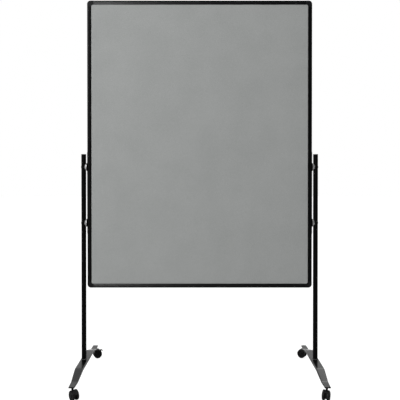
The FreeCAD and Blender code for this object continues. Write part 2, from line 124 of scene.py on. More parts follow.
class Graph:
    """Node tree of one material or of the studio's surroundings."""

    def __init__(self, tree: bpy.types.NodeTree) -> None:
        """Start from an empty tree."""
        tree.nodes.clear()
        self.tree = tree

    def add(
        self,
        kind: str,
        settings: Dict[str, object],
        sockets: Dict[Union[int, str], object],
        output: Union[int, str] = 0,
    ) -> Signal:
        """Add one node.

        Args:
            kind: the node's type.
            settings: properties, set before any socket.
            sockets: value or signal of each input.
            output: which output to hand back.

        Returns:
            The chosen output.
        """
        node = self.tree.nodes.new(kind)
        for name, setting in settings.items():
            setattr(node, name, setting)
        for name, term in sockets.items():
            if isinstance(term, Signal):
                self.tree.links.new(term.socket, node.inputs[name])
            else:
                node.inputs[name].default_value = term
        return Signal(self, node.outputs[output] if node.outputs else None)

    def place(self) -> Signal:
        """Place on the piece, in metres."""
        return self.add("ShaderNodeTexCoord", {}, {}, "Object")

    def stretched(self, place: Signal, across: Point) -> Signal:
        """Scale a place by a different amount along each axis."""
        return self.add("ShaderNodeVectorMath", {"operation": "MULTIPLY"}, {0: place, 1: across})

    def shifted(self, place: Signal, offset: Signal, amount: float) -> Signal:
        """Push a place about by a coloured noise, by an amount in metres."""
        settings = {"operation": "MULTIPLY_ADD"}
        return self.add("ShaderNodeVectorMath", settings, {0: offset, 1: (amount,) * 3, 2: place})

    def cloud(self, place: Signal, size: float, detail: float = 3, output: int = 0) -> Signal:
        """Cloudy noise with patches of a size in metres; output 1 is its colour."""
        sockets = {"Vector": place, "Scale": 1 / size, "Detail": detail}
        return self.add("ShaderNodeTexNoise", {}, sockets, output)

    def cells(self, place: Signal, size: float) -> Signal:
        """Distance to the middle of the nearest of many small cells."""
        return self.add("ShaderNodeTexVoronoi", {}, {"Vector": place, "Scale": 1 / size})

    def mix(self, factor: Term, low: object, high: object) -> Signal:
        """Blend two colours as the factor goes from 0 to 1."""
        pair = [(*term, 1) if isinstance(term, tuple) else term for term in (low, high)]
        return self.add("ShaderNodeMix", {"data_type": "RGBA"}, {0: factor, 6: pair[0], 7: pair[1]}, 2)

    def wear(self) -> Signal:
        """How rubbed the surface is there, as the mesh says."""
        return self.add("ShaderNodeAttribute", {"attribute_name": "wear"}, {}, "Fac")

    def bump(self, height: Signal, depth: float, strength: float = 1) -> Signal:
        """Turn a height from 0 to 1 into the normal of a relief so deep, in metres."""
        sockets = {"Height": height, "Distance": depth, "Strength": strength}
        return self.add("ShaderNodeBump", {}, sockets)

    def surface(self, sockets: Dict[str, object]) -> None:
        """Close the graph with a Principled shader that has these sockets."""
        shader = self.add("ShaderNodeBsdfPrincipled", {}, sockets)
        self.add("ShaderNodeOutputMaterial", {}, {"Surface": shader})


@dataclass(frozen=True)
class Finish:
    """A named procedural material."""

    name: str

    def draw(self, graph: Graph) -> None:
        """Draw the finish's nodes."""
        raise NotImplementedError

    def material(self) -> bpy.types.Material:
        """Make the material once, and hand it out after that.

        Returns:
            The material.
        """
        found = bpy.data.materials.get(self.name)
        if found is None:
            found = bpy.data.materials.new(self.name)
            found.use_nodes = True
            self.draw(Graph(found.node_tree))
        return found


@dataclass(frozen=True)
class Felt(Finish):
    """Needled felt: matted fibres of two tones with a short soft nap."""

    light: Colour = (0.458, 0.471, 0.464)
    dark: Colour = (0.313, 0.323, 0.318)
    fleck: Colour = (0.525, 0.538, 0.531)
    fibre: float = 0.0011
    fleck_size: float = 0.00264
    curl: float = 0.004
    draught: float = 0.28
    patch: float = 0.16
    nap: float = 0.0007

    def draw(self, graph: Graph) -> None:
        """Draw curled fibres, flecks and broad cloudy patches.

        Args:
            graph: the material's empty graph.
        """
        place = graph.place()
        swirl = graph.shifted(place, graph.cloud(place, self.curl, 2, 1), self.curl)
        strands = graph.cloud(graph.stretched(swirl, (1, 1, self.draught)), self.fibre, 4)
        crossing = graph.cloud(graph.stretched(swirl, (self.draught, 1, 1)), self.fibre, 4)
        matted = (strands + crossing) * 0.5
        flecks = graph.cells(swirl, self.fleck_size).between(0.16, 0.05)
        patches = graph.cloud(place, self.patch, 3).between(0.25, 0.75)
        tone = matted.between(0.32, 0.68) * 0.82 + patches * 0.18
        colour = graph.mix(flecks * 0.35, graph.mix(tone, self.dark, self.light), self.fleck)
        relief = matted * 0.8 + (1 - flecks) * 0.2
        graph.surface({
            "Base Color": colour,
            "Roughness": 0.95 - 0.08 * matted,
            "Specular IOR Level": 0.2,
            "Sheen Weight": 0.25,
            "Sheen Roughness": 0.6,
            "Normal": graph.bump(relief, self.nap, 0.8),
        })


@dataclass(frozen=True)
class Anodised(Finish):
    """Black anodised extrusion with faint lines drawn along it."""

    run: Run = Run.LEVEL
    shine: float = 0.26
    colour: Colour = (0.0016, 0.0016, 0.0017)
    bloom: Colour = (0.0040, 0.0040, 0.0042)
    bare: Colour = (0.06, 0.06, 0.06)
    line: float = 0.0009
    draught: float = 0.012
    patch: float = 0.09
    scuff: float = 0.028
    swerve: float = 0.03
    speck: float = 0.002
    rub: float = 0.006
    depth: float = 0.00003

    def draw(self, graph: Graph) -> None:
        """Draw lines along the run, a faint bloom and small scuffs.

        Args:
            graph: the material's empty graph.
        """
        place = graph.place()
        along = [1.0, 1.0, 1.0]
        along[self.run.value] = self.draught
        lines = graph.cloud(graph.stretched(place, tuple(along)), self.line, 3)
        bloom = graph.cloud(place, self.patch, 4).between(0.35, 0.8)
        smeared = graph.shifted(place, graph.cloud(place, self.swerve, 2, 1), self.swerve)
        scuffs = graph.cells(smeared, self.scuff)
        marks = scuffs.between(0.035, 0.01) * graph.cloud(place, self.speck, 2).between(0.5, 0.7)
        rubbed = graph.wear() * graph.cloud(place, self.rub, 3).between(0.45, 0.75)
        tone = lines.between(0.3, 0.7) * 0.5 + bloom * 0.5
        colour = graph.mix(tone, self.colour, self.bloom)
        graph.surface({
            "Base Color": graph.mix(marks * 0.3 + rubbed * 0.5, colour, self.bare),
            "Metallic": 0.0,
            "Roughness": 0.30 + 0.10 * lines + 0.06 * bloom,
            "Specular IOR Level": self.shine,
            "Normal": graph.bump(lines, self.depth, 0.6),
        })


@dataclass(frozen=True)
class PowderCoat(Finish):
    """Black stoved paint on steel, with orange peel and a little dust."""

    colour: Colour = (0.0014, 0.0014, 0.0015)
    haze: Colour = (0.0030, 0.0030, 0.0031)
    shine: float = 0.25
    gloss: float = 0.24
    dust: Colour = (0.09, 0.088, 0.083)
    bare: Colour = (0.075, 0.074, 0.072)
    peel: float = 0.0016
    patch: float = 0.07
    speck: float = 0.011
    drift: float = 0.05
    rub: float = 0.005
    depth: float = 0.00005

    def draw(self, graph: Graph) -> None:
        """Draw the paint's peel, haze, rubbed edges and specks of dust.

        Args:
            graph: the material's empty graph.
        """
        place = graph.place()
        peel = graph.cloud(place, self.peel, 2)
        haze = graph.cloud(place, self.patch, 4).between(0.3, 0.8)
        specks = graph.cells(place, self.speck).between(0.06, 0.02)
        dust = specks * graph.cloud(place, self.drift, 2).between(0.5, 0.8)
        rubbed = graph.wear() * graph.cloud(place, self.rub, 4).between(0.48, 0.72)
        colour = graph.mix(dust * 0.5, graph.mix(haze, self.colour, self.haze), self.dust)
        graph.surface({
            "Base Color": graph.mix(rubbed * 0.6, colour, self.bare),
            "Roughness": self.gloss + 0.10 * haze + 0.20 * dust,
            "Specular IOR Level": self.shine,
            "Normal": graph.bump(peel, self.depth, 0.7),
        })


@dataclass(frozen=True)
class Moulded(Finish):
    """Moulded black plastic with a fine spark-eroded texture."""

    colour: Colour = (0.0036, 0.0036, 0.0038)
    worn: Colour = (0.028, 0.028, 0.029)
    rough: float = 0.46
    grain: float = 0.0007
    shine: float = 0.14
    flow: float = 0.02
    flow_tone: float = 1.7
    rub: float = 0.003
    depth: float = 0.00006

    def draw(self, graph: Graph) -> None:
        """Draw the grain, faint flow marks and the rubbed places.

        Args:
            graph: the material's empty graph.
        """
        place = graph.place()
        pits = graph.cells(place, self.grain)
        flow = graph.cloud(place, self.flow, 4).between(0.3, 0.75)
        rubbed = graph.wear() * graph.cloud(place, self.rub, 4).between(0.35, 0.7)
        deep = graph.mix(flow, self.colour, tuple(self.flow_tone * part for part in self.colour))
        graph.surface({
            "Base Color": graph.mix(rubbed, deep, self.worn),
            "Roughness": self.rough + 0.12 * flow + 0.18 * rubbed,
            "Specular IOR Level": self.shine,
            "Normal": graph.bump(pits, self.depth, 0.6),
        })


@dataclass(frozen=True)
class Plated(Finish):
    """Bright plated steel with fine polishing lines and smudges."""

    colour: Colour = (0.78, 0.78, 0.79)
    shade: Colour = (0.56, 0.56, 0.58)
    rough: float = 0.16
    line: float = 0.0006
    draught: float = 0.06
    smudge: float = 0.012
    spot: float = 0.004
    depth: float = 0.00002

    def draw(self, graph: Graph) -> None:
        """Draw the polish, its lines and a few dull spots.

        Args:
            graph: the material's empty graph.
        """
        place = graph.place()
        lines = graph.cloud(graph.stretched(place, (1, 1, self.draught)), self.line, 3)
        smudge = graph.cloud(place, self.smudge, 4).between(0.4, 0.75)
        spots = graph.cells(place, self.spot).between(0.05, 0.015)
        graph.surface({
            "Base Color": graph.mix(smudge * 0.6 + spots * 0.4, self.colour, self.shade),
            "Metallic": 1.0,
            "Roughness": self.rough + 0.08 * lines + 0.14 * smudge,
            "Normal": graph.bump(lines, self.depth, 0.5),
        })


@dataclass(frozen=True)
class Rubber(Finish):
    """Matt black rubber with a dusty bloom."""

    colour: Colour = (0.010, 0.010, 0.010)
    bloom: Colour = (0.028, 0.027, 0.026)
    patch: float = 0.009
    pit: float = 0.0009
    depth: float = 0.00008

    def draw(self, graph: Graph) -> None:
        """Draw the bloom and the fine pits.

        Args:
            graph: the material's empty graph.
        """
        place = graph.place()
        bloom = graph.cloud(place, self.patch, 5).between(0.35, 0.8)
        pits = graph.cells(place, self.pit)
        graph.surface({
            "Base Color": graph.mix(bloom, self.colour, self.bloom),
            "Roughness": 0.72 + 0.14 * bloom,
            "Specular IOR Level": 0.35,
            "Normal": graph.bump(pits, self.depth, 0.6),
        })


@dataclass(frozen=True)
class Fibreboard(Finish):
    """Pressed wood fibre of the board's core."""

    light: Colour = (0.46, 0.31, 0.17)
    dark: Colour = (0.25, 0.15, 0.075)
    chip: float = 0.004
    spread: Point = (1, 3, 0.4)
    depth: float = 0.0003

    def draw(self, graph: Graph) -> None:
        """Draw short matted chips.

        Args:
            graph: the material's empty graph.
        """
        place = graph.place()
        chips = graph.cloud(graph.stretched(place, self.spread), self.chip, 5)
        graph.surface({
            "Base Color": graph.mix(chips.between(0.3, 0.7), self.dark, self.light),
            "Roughness": 0.82 + 0.1 * chips,
            "Normal": graph.bump(chips, self.depth, 0.7),
        })


@dataclass(frozen=True)
class Paper(Finish):
    """Pale seamless studio paper."""

    light: Colour = (0.34, 0.34, 0.34)
    dark: Colour = (0.31, 0.31, 0.31)
    patch: float = 0.8
    glow: float = 0.85
    rear: Flat = (0.25, 0.6)
    mirror: float = 1.5

    def draw(self, graph: Graph) -> None:
        """Draw a barely uneven pale floor that glows to the eye, and behind the part in reflections.

        Args:
            graph: the material's empty graph.
        """
        place = graph.place()
        cloud = graph.cloud(place, self.patch, 2)
        behind = graph.add("ShaderNodeSeparateXYZ", {}, {0: place}, "Y").between(*self.rear)
        mirrored = graph.add("ShaderNodeLightPath", {}, {}, "Is Glossy Ray") * behind * self.mirror
        seen = graph.add("ShaderNodeLightPath", {}, {}, "Is Camera Ray") + mirrored
        graph.surface({
            "Base Color": graph.mix(cloud, self.dark, self.light),
            "Roughness": 0.9,
            "Specular IOR Level": 0.1,
            "Emission Color": graph.mix(seen, (0, 0, 0), (1, 1, 1)),
            "Emission Strength": self.glow,
        })


FELT = Felt("grey_felt")
LEVEL_RAIL = Anodised("anodised_level", Run.LEVEL, 0.15)
UPRIGHT_RAIL = Anodised("anodised_upright", Run.UPRIGHT, 0.10)
CORNER_PLASTIC = Moulded("corner_plastic", (0.0046, 0.0046, 0.0048), rough=0.40)
POST_PAINT = PowderCoat("post_paint", shine=0.06, gloss=0.36)
WELD_PAINT = PowderCoat("weld_paint", shine=0.60, gloss=0.14)
STEM_PAINT = PowderCoat("stem_paint", shine=0.10, gloss=0.36)
FOOT_PAINT = PowderCoat("foot_paint", shine=0.38, gloss=0.17)
BAR_PAINT = PowderCoat("bar_paint", gloss=0.34)
CAP_PLASTIC = Moulded("cap_plastic", rough=0.42)
CASTOR_PLASTIC = Moulded("castor_plastic", rough=0.34, grain=0.0009)
WHEEL_PLASTIC = Moulded("wheel_plastic", (0.0046, 0.0046, 0.0048), (0.034, 0.033, 0.032), 0.38)
PAD_RUBBER = Rubber("pad_rubber")
BRIGHT_PLATE = Plated("bright_plate", (0.66, 0.66, 0.67), (0.50, 0.50, 0.51), 0.42)
DULL_PLATE = Plated("dull_plate", (0.50, 0.50, 0.51), (0.30, 0.30, 0.31), 0.30)
CORE_BOARD = Fibreboard("core_board")
FLOOR_PAPER = Paper("floor_paper")


# Meshes

@contextmanager
def reworked(mesh: bpy.types.Mesh) -> Iterator[bmesh.types.BMesh]:
    """Open a mesh for work, and put the result back into it.

    Args:
        mesh: the mesh.

    Yields:
        Its working copy.
    """
    work = bmesh.new()
    work.from_mesh(mesh)
    yield work
    work.to_mesh(mesh)
    work.free()


def smooth(mesh: bpy.types.Mesh) -> None:
    """Shade a mesh smooth, except at its clear edges."""
    mesh.shade_smooth()
    mesh.set_sharp_from_angle(angle=math.radians(SHARP))


def placed(name: str, data: bpy.types.ID) -> Piece:
    """Put a new object into the scene.

    Args:
        name: its name.
        data: its mesh, light or camera.

    Returns:
        The object.
    """
    piece = bpy.data.objects.new(name, data)
    bpy.context.scene.collection.objects.link(piece)
    return piece


def arc(middle: Flat, radius: float, start: float, end: float, steps: int) -> List[Flat]:
    """Points along an arc between two angles in degrees, one more than its steps."""
    turns = [math.radians(start + (end - start) * step / steps) for step in range(steps + 1)]
    return [(middle[0] + radius * math.cos(turn), middle[1] + radius * math.sin(turn)) for turn in turns]


def from_faces(name: str, points: Sequence[Sequence[float]], faces: Sequence[Sequence[int]]) -> Piece:
    """Make a piece from points and faces, with its normals outwards.

    Args:
        name: the piece's name.
        points: the vertices.
        faces: vertex numbers of each face.

    Returns:
        The new piece, shaded smooth except at clear edges.
    """
    mesh = bpy.data.meshes.new(name)
    mesh.from_pydata([tuple(map(float, point)) for point in points], [], [list(face) for face in faces])
    with reworked(mesh) as work:
        bmesh.ops.remove_doubles(work, verts=work.verts, dist=MERGE)
        bmesh.ops.recalc_face_normals(work, faces=work.faces)
    smooth(mesh)
    return placed(name, mesh)


def skin(
    name: str,
    rings: Sequence[Sequence[Sequence[float]]],
    looped: bool = False,
    capped: bool = True,
    closed: bool = True,
) -> Piece:
    """Skin a row of rings.

    Args:
        name: the piece's name.
        rings: rings with the same number of points each.
        looped: whether the last ring joins the first.
        capped: whether the two end rings are filled.
        closed: whether each ring's last point joins its first.

    Returns:
        The new piece.
    """
    count, around = len(rings), len(rings[0])
    faces = []
    for here in range(count if looped else count - 1):
        there = (here + 1) % count
        for spot in range(around if closed else around - 1):
            after = (spot + 1) % around
            near = (here * around + spot, here * around + after)
            faces.append((*near, there * around + after, there * around + spot))
    if capped and not looped:
        faces.append(tuple(range(around)))
        faces.append(tuple(range((count - 1) * around, count * around)))
    return from_faces(name, [point for ring in rings for point in ring], faces)


def turned(
    name: str, profile: Sequence[Flat], axis: str = "Z", looped: bool = False, steps: int = 64
) -> Piece:
    """Turn a profile round an axis through the origin.

    Args:
        name: the piece's name.
        profile: points of (place along the axis, radius).
        axis: the axis's letter.
        looped: whether the profile closes on itself.
        steps: facets in the round.

    Returns:
        The new piece.
    """
    turns = [math.tau * step / steps for step in range(steps)]
    rings = []
    for along, radius in profile:
        ring = [(radius * math.cos(turn), radius * math.sin(turn), along) for turn in turns]
        if axis == "Y":
            ring = [(x, along, y) for x, y, _ in ring]
        elif axis == "X":
            ring = [(along, x, y) for x, y, _ in ring]
        rings.append(ring)
    return skin(name, rings, looped, capped=False)


def rod(
    name: str, low: float, high: float, radius: float, edge: float = 0, axis: str = "Z", steps: int = 64
) -> Piece:
    """Round rod or disc along an axis through the origin.

    Args:
        name: the piece's name.
        low: lower end on the axis.
        high: upper end on the axis.
        radius: its radius.
        edge: radius of its rims, or 0 for sharp ones.
        axis: the axis's letter.
        steps: facets in the round.

    Returns:
        The new piece.
    """
    side = [(low, radius), (high, radius)]
    if edge:
        side = arc((low + edge, radius - edge), edge, 180, 90, 5)
        side += arc((high - edge, radius - edge), edge, 90, 0, 5)
    return turned(name, [(low, 0), *side, (high, 0)], axis, steps=steps)


def hexagon(flats: float) -> List[Flat]:
    """Corners of a hexagon of a size across its flats."""
    return arc((0, 0), flats / math.sqrt(3), 0, 360, 6)[:-1]


def oblong(left: float, right: float, low: float, high: float) -> List[Flat]:
    """Corners of an upright rectangle."""
    return [(left, low), (right, low), (right, high), (left, high)]


def plate(name: str, outline: Sequence[Flat], axis: str, low: float, high: float) -> Piece:
    """Give an outline a thickness along an axis.

    Args:
        name: the piece's name.
        outline: points of (X, Y) across Z, (X, Z) across Y, or (Y, Z) across X.
        axis: letter of the axis that the thickness runs along.
        low: lower end on the axis.
        high: upper end on the axis.

    Returns:
        The new piece.
    """
    place = {
        "X": lambda first, second, along: (along, first, second),
        "Y": lambda first, second, along: (first, along, second),
        "Z": lambda first, second, along: (first, second, along),
    }[axis]
    return skin(name, [[place(first, second, along) for first, second in outline] for along in (low, high)])


def move(piece: Piece, offset: Sequence[float] = (0, 0, 0), turn: float = 0, axis: str = "Z") -> Piece:
    """Turn a piece's mesh about an axis through the origin, in degrees, then shift it."""
    piece.data.transform(Matrix.Translation(Vector(offset)) @ Matrix.Rotation(math.radians(turn), 4, axis))
    return piece


def settle(piece: Piece) -> Piece:
    """Make a piece's modifiers part of its mesh.

    Args:
        piece: the piece.

    Returns:
        The same piece.
    """
    mesh = bpy.data.meshes.new_from_object(piece.evaluated_get(bpy.context.evaluated_depsgraph_get()))
    piece.modifiers.clear()
    piece.data = mesh
    return piece


def fitted(piece: Piece, tool: Piece, operation: str) -> Piece:
    """Cut a piece with a tool, or join the tool to it, and use the tool up.

    Args:
        piece: the piece.
        tool: the other solid.
        operation: DIFFERENCE or UNION.

    Returns:
        The same piece.
    """
    change = piece.modifiers.new("fit", "BOOLEAN")
    change.operation = operation
    change.object = tool
    change.solver = "EXACT"
    settle(piece)
    bpy.data.objects.remove(tool)
    with reworked(piece.data) as work:
        bmesh.ops.dissolve_degenerate(work, dist=SLIVER, edges=work.edges)
    smooth(piece.data)
    return piece


def gathered(name: str, members: Sequence[Piece]) -> Piece:
    """Join solids into one piece.

    Args:
        name: the joined piece's name.
        members: the solids, which are used up.

    Returns:
        The joined piece.
    """
    mesh = bpy.data.meshes.new(name)
    with reworked(mesh) as work:
        for member in members:
            work.from_mesh(member.data)
            bpy.data.objects.remove(member)
    smooth(mesh)
    return placed(name, mesh)


def soften(piece: Piece, width: float, segments: int = 3, angle: float = SHARP) -> Piece:
    """Round a piece's clear edges, and keep its flats flat.

    Args:
        piece: the piece.
        width: width of the rounding.
        segments: facets across it.
        angle: how sharp an edge has to be, in degrees.

    Returns:
        The same piece.
    """
    edge = piece.modifiers.new("round", "BEVEL")
    edge.width = width
    edge.segments = segments
    edge.limit_method = "ANGLE"
    edge.angle_limit = math.radians(angle)
    edge.use_clamp_overlap = True
    shade = piece.modifiers.new("shade", "WEIGHTED_NORMAL")
    shade.keep_sharp = True
    return piece


def worn(piece: Piece, amount: float, chosen: Callable[[Vector], bool]) -> Piece:
    """Note on the mesh which places are rubbed.

    Args:
        piece: the piece.
        amount: how rubbed they are, from 0 to 1.
        chosen: tells for a vertex's place whether it is one of them.

    Returns:
        The same piece.
    """
    layer = piece.data.attributes.new("wear", "FLOAT", "POINT")
    layer.data.foreach_set("value", [amount * chosen(vertex.co) for vertex in piece.data.vertices])
    return piece


def dress(piece: Piece, finish: Finish, body: str, nodes: Sequence[str] = ()) -> Piece:
    """Give a piece its finish, its body and the nodes that it stands for.

    Args:
        piece: the piece, in place.
        finish: its material.
        body: the body that it rides on.
        nodes: the CAD nodes that it replaces.

    Returns:
        The same piece.
    """
    piece.data.materials.clear()
    piece.data.materials.append(finish.material())
    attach(piece, body)
    if nodes:
        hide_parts(*nodes)
    log.info("%s rides on %s", piece.name, body)
    return piece


def middle_of(node: str) -> Vector:
    """Middle of a CAD node's box."""
    low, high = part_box(node)
    return (low + high) / 2


# Studio

@dataclass(frozen=True)
class Lamp:
    """One rectangular soft light, in metres and watts."""

    name: str
    place: Point
    target: Point
    size: Flat
    power: float

    def hang(self) -> Piece:
        """Hang the light.

        Returns:
            The light.
        """
        data = bpy.data.lights.new(self.name, "AREA")
        data.shape = "RECTANGLE"
        data.size, data.size_y = self.size
        data.energy = self.power
        light = placed(self.name, data)
        light.location = self.place
        aim = Vector(self.target) - Vector(self.place)
        light.rotation_euler = aim.to_track_quat("-Z", "Y").to_euler()
        light.visible_camera = False
        return light


KEY = Lamp("key", (-3.2, -3.8, 3.2), (-0.2, 0, 1.3), (2.0, 3.2), 170)
FILL = Lamp("fill", (2.6, -2.6, 1.5), (0, 0, 1.1), (1.2, 1.2), 3)
REAR = Lamp("rear", (1.6, 2.6, 3.0), (0, 0, 1.2), (2.0, 2.0), 26)
STRIP = Lamp("strip", (-1.18, -2.3, 1.3), (-0.3, 0, 1.2), (0.4, 3.2), 110)


@dataclass
class Studio:
    """Camera at the photograph's angle, pale floor and soft light."""

    camera_gap: float = 2.5398
    camera_height: float = 1.1022
    focal_pixels: float = 485.3
    camera_dip: float = 0.413
    sensor: float = 36.0
    middle_row: float = 170.04
    middle_column: float = 199.64
    floor_radius: float = 16.0
    floor_facets: int = 96
    floor_drop: float = 0.0002
    floor_thick: float = 0.01
    overhead: float = 1.5
    overhead_spread: float = 110
    overhead_tilt: Flat = (4, -5)
    wall: Flat = (0.95, -0.50)
    room: Flat = (0.02, 0.28)

    def build(self) -> None:
        """Set the camera, floor, lights and surroundings."""
        self.camera()
        self.floor()
        self.lights()
        self.surroundings()
        view = bpy.context.scene.view_settings
        view.view_transform = "Standard"
        view.look = "None"

    def camera(self) -> None:
        """Stand the camera in front of the board's middle plane."""
        data = bpy.data.cameras.new("camera")
        data.sensor_width = self.sensor
        data.lens = self.focal_pixels * self.sensor / PHOTO_SIDE
        half = PHOTO_SIDE / 2
        data.shift_x = (half - self.middle_column) / PHOTO_SIDE
        data.shift_y = (self.middle_row - half) / PHOTO_SIDE
        camera = placed("camera", data)
        camera.location = (0, middle_of("panel_core").y - self.camera_gap, self.camera_height)
        camera.rotation_euler = (math.radians(90 - self.camera_dip), 0, 0)
        bpy.context.scene.camera = camera

    def floor(self) -> None:
        """Lay a wide round floor under the wheels."""
        ring = arc((0, 0), self.floor_radius, 0, 360, self.floor_facets)[:-1]
        floor = plate("floor", ring, "Z", -self.floor_drop - self.floor_thick, -self.floor_drop)
        floor.data.materials.append(FLOOR_PAPER.material())

    def lights(self) -> None:
        """Hang a soft key at the front left, a fill at the right and broad light from above."""
        for lamp in (KEY, FILL, REAR):
            lamp.hang()
        data = bpy.data.lights.new("overhead", "SUN")
        data.energy = self.overhead
        data.angle = math.radians(self.overhead_spread)
        tilt = [math.radians(turn) for turn in self.overhead_tilt]
        placed("overhead", data).rotation_euler = (*tilt, 0)

    def rake(self, rails: Sequence[Piece]) -> None:
        """Let a slim light at the left rake along some rails, for their sheen alone.

        Args:
            rails: the only pieces that it reaches.
        """
        strip = STRIP.hang()
        strip.visible_diffuse = False
        reached = bpy.data.collections.new("raked")
        for rail in rails:
            reached.objects.link(rail)
        strip.light_linking.receiver_collection = reached

    def surroundings(self) -> None:
        """White to the eye; for the light, a bright wall behind and a dim room in front."""
        world = bpy.data.worlds.new("studio")
        bpy.context.scene.world = world
        world.use_nodes = True
        graph = Graph(world.node_tree)
        facing = graph.add("ShaderNodeTexCoord", {}, {}, "Generated")
        behind = graph.add("ShaderNodeSeparateXYZ", {}, {0: facing}, "Y").between(0.0, 0.7)
        height = graph.add("ShaderNodeSeparateXYZ", {}, {0: facing}, "Z")
        wall = self.wall[0] + self.wall[1] * height.between(0.2, 0.95)
        room = self.room[0] + self.room[1] * height.between(0.25, 0.95)
        glow = behind * wall + (1 - behind) * room
        seen = graph.add("ShaderNodeLightPath", {}, {}, "Is Camera Ray")
        strength = seen + (1 - seen) * glow
        lit = graph.add("ShaderNodeBackground", {}, {"Color": (1, 1, 1, 1), "Strength": strength})
        graph.add("ShaderNodeOutputWorld", {}, {"Surface": lit})


# Board

@dataclass
class Board:
    """Felt-faced board in a crowned channel frame with moulded corners."""

    width: float = 1.170
    height: float = 1.495
    depth: float = 0.025
    face: float = 0.021
    crown: float = 0.0008
    crown_steps: int = 12
    wall: float = 0.0015
    slot_floor: float = 0.010
    panel_gap: float = 0.0005
    core_half: float = 0.008
    felt_thick: float = 0.0028
    felt_gap: float = 0.0003
    felt_roll: float = 0.0028
    felt_lift: float = 0.00002
    felt_cell: float = 0.03
    felt_steps: Steps = (-0.0003, 0, 0.0004, 0.001, 0.0018, 0.0028, 0.0045, 0.007, 0.010, 0.016, 0.028)
    wave: float = 0.00005
    wave_rate: Flat = (17, 13)
    wave_start: Flat = (1.3, 0.4)
    corner_leg: float = 0.032
    corner_radius: float = 0.018
    corner_edge: float = 0.001
    corner_soft: float = 0.0003
    corner_steps: int = 16
    corner_rub: float = 0.35
    rub_depth: float = 0.0006
    opening_radius: float = 0.009
    rail_edge: float = 0.0005
    screw_inset: float = 0.014
    screw_sink: float = 0.0001

    def __post_init__(self) -> None:
        """Work out the shared places."""
        middle = middle_of("panel_core")
        self.plane, self.middle_z = middle.y, middle.z
        self.half_x, self.half_z = self.width / 2, self.height / 2
        self.lip_half = self.depth / 2 - self.crown
        self.slot_half = self.lip_half - self.wall
        self.tuck = self.slot_floor + self.panel_gap

    def build(self) -> None:
        """Build the core's finish, both felts, the rails, the corners and their screws."""
        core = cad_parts["panel_core"]
        core.data.materials.clear()
        core.data.materials.append(CORE_BOARD.material())
        log.info("%s keeps its solid", core.name)
        self.felt("front", -1)
        self.felt("rear", 1)
        self.rails()
        self.corners()
        self.screws()

    def felt_lines(self, half: float) -> np.ndarray:
        """Grid lines of the felt along one axis, close together at the frame.

        Args:
            half: half the felt's size along the axis.

        Returns:
            The lines from minus half to half.
        """
        corner = self.corner_radius - self.tuck
        lip = self.face - self.tuck + self.felt_gap
        close = [0, corner / 2, corner] + [lip + step for step in self.felt_steps]
        inner = half - close[-1]
        cells = max(2, round(2 * inner / self.felt_cell))
        edge = half - np.array(close)
        return np.concatenate([-edge, np.linspace(-inner, inner, cells + 1)[1:-1], edge[::-1]])

    def felt(self, name: str, facing: int) -> None:
        """Felt over one side of the core, pressed down where the frame's lips hold it.

        Args:
            name: front or rear.
            facing: -1 for the front and 1 for the rear.
        """
        half = np.array([self.half_x, self.half_z]) - self.tuck
        flat = np.stack(np.meshgrid(*map(self.felt_lines, half.tolist()), indexing="ij"), axis=-1)
        flat = self.rounded(flat, half)
        deep = self.plane + facing * (self.core_half + self.felt_height(flat))
        under = self.plane + facing * (self.core_half + self.felt_lift)
        top = [(x, y, self.middle_z + z) for (x, z), y in zip(flat.reshape(-1, 2), deep.ravel())]
        base = [(x, under, z) for x, _, z in top]
        index = np.arange(deep.size).reshape(deep.shape)
        corners = [index[:-1, :-1], index[1:, :-1], index[1:, 1:], index[:-1, 1:]]
        cells = np.stack(corners, axis=-1).reshape(-1, 4)
        faces = cells.tolist() + (cells + deep.size).tolist()
        rim = np.concatenate([index[:, 0], index[-1, 1:], index[-2::-1, -1], index[0, -2:0:-1]])
        for here, there in zip(rim, np.roll(rim, -1)):
            faces.append((here, there, there + deep.size, here + deep.size))
        piece = from_faces(f"felt_facing_{name}", top + base, faces)
        dress(piece, FELT, "stand", [f"felt_{name}"])

    def rounded(self, flat: np.ndarray, half: np.ndarray) -> np.ndarray:
        """Draw the square corners of the felt's grid in to its radius.

        Args:
            flat: grid of places.
            half: half its width and height.

        Returns:
            The changed grid.
        """
        past = np.abs(flat) - (half - (self.corner_radius - self.tuck))
        corner = (past > 0).all(axis=-1)
        reach = past[corner]
        length = np.linalg.norm(reach, axis=-1, keepdims=True)
        drawn = reach * reach.max(axis=-1, keepdims=True) / length
        changed = flat.copy()
        changed[corner] -= np.sign(flat[corner]) * (reach - drawn)
        return changed

    def felt_height(self, flat: np.ndarray) -> np.ndarray:
        """Height of the felt's face over the core.

        Args:
            flat: grid of places about the board's middle.

        Returns:
            The height at each place.
        """
        radius = self.opening_radius - self.felt_gap
        past = np.abs(flat) - (np.array([self.half_x, self.half_z]) - self.face - self.felt_gap - radius)
        outside = np.linalg.norm(np.maximum(past, 0), axis=-1) + np.minimum(past.max(axis=-1), 0) - radius
        rise = np.sin(np.clip(-outside / self.felt_roll, 0, 1) * math.pi / 2)
        pressed = self.slot_half - self.core_half
        waves = self.wave * np.sin(flat * self.wave_rate + self.wave_start).prod(axis=-1)
        return pressed + rise * (self.felt_thick - pressed + waves - self.wave)

    def rail_section(self) -> List[Flat]:
        """Draw a rail's section.

        Returns:
            Points of (depth, place inwards from the outer side).
        """
        half = []
        for step in range(self.crown_steps + 1):
            share = step / self.crown_steps
            half.append((self.lip_half + self.crown * (1 - (2 * share - 1) ** 2), self.face * share))
        half += [(self.slot_half, self.face), (self.slot_half, self.slot_floor)]
        return half + [(-deep, inward) for deep, inward in reversed(half)]

